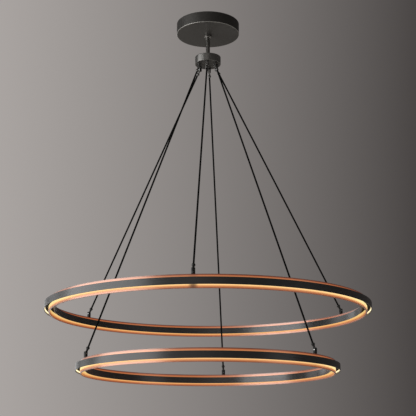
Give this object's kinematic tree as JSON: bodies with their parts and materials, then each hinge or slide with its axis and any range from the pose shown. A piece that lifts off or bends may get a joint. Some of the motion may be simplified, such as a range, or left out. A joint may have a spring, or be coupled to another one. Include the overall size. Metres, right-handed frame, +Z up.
{
  "type": "two-tier ring chandelier",
  "caption": "Two-tier LED ring chandelier: glowing copper hoops between black bands, each hung by taut cables from a small hub on a swivelling stem under a round canopy.",
  "frame": {"origin": "on the ceiling, at the hanging axis", "axes": "+Z up into the ceiling, -Y towards the viewer"},
  "size_m": [1.5238, 1.5238, 1.7572],
  "materials": {
    "black_band": "satin black anodised",
    "copper": "satin copper anodised",
    "opal": "opal",
    "led_tape": "printed tape",
    "cable_braid": "braided jacket",
    "graphite": "satin graphite",
    "black_fitting": "gloss black",
    "steel": "zinc plated",
    "nylon": "moulded",
    "driver_case": "moulded",
    "terminal_plastic": "moulded",
    "ground_green": "green"
  },
  "bodies": {
    "ceiling_mount": {"mounting_plate": "steel", "canopy_cover": "graphite", "upper_driver": "driver_case", "lower_driver": "driver_case", "driver_screws": "steel", "terminal_block": "terminal_plastic", "ground_screw": "ground_green", "nipple": "steel", "nipple_nuts": "steel", "swivel_body": "steel", "swivel_cap": "graphite"},
    "liner": {"swivel_liner": "nylon"},
    "stem": {"swivel_ball": "graphite", "stem_ring": "graphite", "stem_tube": "graphite", "stem_washer": "steel", "stem_nut": "steel"},
    "hub": {"hub_shell": "graphite", "hub_plate": "graphite", "hub_plate_screws": "black_fitting", "hub_forks": "black_fitting", "hub_fork_pins": "steel", "fork_nuts": "steel"},
    "upper_tier": {"upper_cable_1": "cable_braid", "upper_cable_2": "cable_braid", "upper_cable_3": "cable_braid", "upper_top_terminals": "black_fitting", "upper_bottom_terminals": "black_fitting", "upper_ring_forks": "black_fitting", "upper_fork_pins": "steel", "upper_fork_studs": "steel", "upper_core_band": "copper", "upper_outer_band": "black_band", "upper_inner_band": "black_band", "upper_outer_carrier": "black_band", "upper_inner_carrier": "black_band", "upper_tie_rods": "steel", "upper_led_strips": "led_tape", "upper_diffusers": "opal", "upper_feed_blocks": "terminal_plastic"},
    "lower_tier": {"lower_cable_1": "cable_braid", "lower_cable_2": "cable_braid", "lower_cable_3": "cable_braid", "lower_top_terminals": "black_fitting", "lower_bottom_terminals": "black_fitting", "lower_ring_forks": "black_fitting", "lower_fork_pins": "steel", "lower_fork_studs": "steel", "lower_core_band": "copper", "lower_outer_band": "black_band", "lower_inner_band": "black_band", "lower_outer_carrier": "black_band", "lower_inner_carrier": "black_band", "lower_tie_rods": "steel", "lower_led_strips": "led_tape", "lower_diffusers": "opal", "lower_feed_blocks": "terminal_plastic"}
  },
  "joints": [
    {"name": "swivel_tilt", "type": "hinge", "parent": "ceiling_mount", "child": "liner", "pos_m": [0, 0, -0.06], "axis": [1, 0, 0], "range_deg": [-15, 15]},
    {"name": "swivel_lean", "type": "hinge", "parent": "liner", "child": "stem", "pos_m": [0, 0, -0.06], "axis": [0, 1, 0], "range_deg": [-15, 15]},
    {"name": "hub_turn", "type": "hinge", "parent": "stem", "child": "hub", "pos_m": [0, 0, -0.178], "axis": [0, 0, 1], "range_deg": [-175, 175]},
    {"name": "upper_tier_twist", "type": "hinge", "parent": "hub", "child": "upper_tier", "pos_m": [0, 0, -0.233], "axis": [0, 0, 1], "range_deg": [-2, 2]},
    {"name": "lower_tier_twist", "type": "hinge", "parent": "hub", "child": "lower_tier", "pos_m": [0, 0, -0.233], "axis": [0, 0, 1], "range_deg": [-2, 2]}
  ]
}
